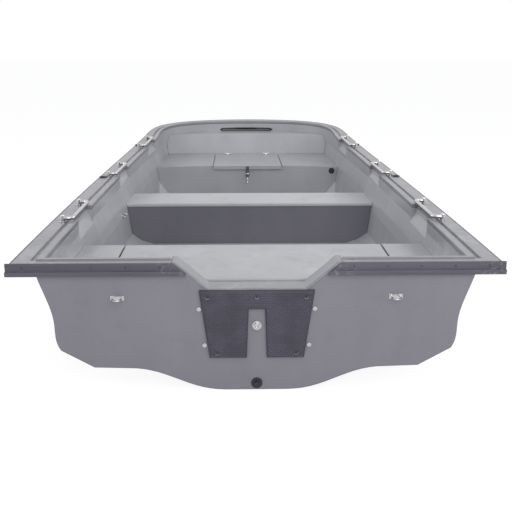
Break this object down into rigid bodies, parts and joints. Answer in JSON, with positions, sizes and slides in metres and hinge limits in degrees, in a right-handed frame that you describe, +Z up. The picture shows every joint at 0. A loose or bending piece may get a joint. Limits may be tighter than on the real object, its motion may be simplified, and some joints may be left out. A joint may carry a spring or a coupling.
{
  "type": "open motorboat hull for an outboard motor",
  "caption": "Open square-bow utility dinghy: hull with keel and side sponsons, seats, bow locker hatch, grab handles, rowlock sockets and a cut-down transom for an outboard.",
  "frame": {"origin": "under the middle of the boat, on the plane its keel rests on", "axes": "+X starboard, +Y to the bow, +Z up"},
  "size_m": [1.7302, 3.9861, 0.585],
  "materials": {
    "hull_gelcoat": "gloss grey gelcoat",
    "liner_gelcoat": "light grey gelcoat",
    "deck_gelcoat": "grey gelcoat",
    "thwart_grey": "dark grey gelcoat",
    "rail_rubber": "matt grey",
    "pad_plastic": "dimpled",
    "board_wood": "plywood",
    "black_plastic": "matt black",
    "bright_steel": "polished stainless"
  },
  "bodies": {
    "boat": {"bilge_plug": "black_plastic", "bow_eye": "bright_steel", "bow_seat": "liner_gelcoat", "cockpit_liner": "liner_gelcoat", "foredeck": "liner_gelcoat", "grab_handle_port_aft": "bright_steel", "grab_handle_port_fore": "bright_steel", "grab_handle_port_mid": "bright_steel", "grab_handle_starboard_aft": "bright_steel", "grab_handle_starboard_fore": "bright_steel", "grab_handle_starboard_mid": "bright_steel", "gunwale_deck": "deck_gelcoat", "hatch_hinge_port": "bright_steel", "hatch_hinge_starboard": "bright_steel", "hull": "hull_gelcoat", "motor_notch_rim": "deck_gelcoat", "motor_pad": "pad_plastic", "motor_pad_lugs": "bright_steel", "motor_pad_screws": "bright_steel", "rowlock_socket_port_fore": "black_plastic", "rowlock_socket_port_mid": "black_plastic", "rowlock_socket_starboard_fore": "black_plastic", "rowlock_socket_starboard_mid": "black_plastic", "rub_rail_bow": "rail_rubber", "rub_rail_port": "rail_rubber", "rub_rail_starboard": "rail_rubber", "rub_rail_stern_port": "rail_rubber", "rub_rail_stern_starboard": "rail_rubber", "splash_drain": "bright_steel", "stern_seat_base": "liner_gelcoat", "thwart_box": "thwart_grey", "thwart_top": "liner_gelcoat", "transom_board": "board_wood", "transom_eye_port": "bright_steel", "transom_eye_starboard": "bright_steel", "transom_liner": "liner_gelcoat", "vent_plug": "black_plastic", "wall_hook": "bright_steel"},
    "hatch": {"hatch_lid": "liner_gelcoat", "hatch_strap_port": "bright_steel", "hatch_strap_starboard": "bright_steel", "hatch_hasp": "bright_steel"},
    "stern_lid": {"stern_seat_lid": "liner_gelcoat"}
  },
  "joints": [
    {"name": "bow_hatch_hinge", "type": "hinge", "parent": "boat", "child": "hatch", "pos_m": [0, 1.57107, 0.36637], "axis": [-1, 0, 0], "range_deg": [0, 110]},
    {"name": "stern_lid_lift", "type": "slide", "parent": "boat", "child": "stern_lid", "axis": [0, 0, 1], "range_m": [0, 0.25]}
  ]
}
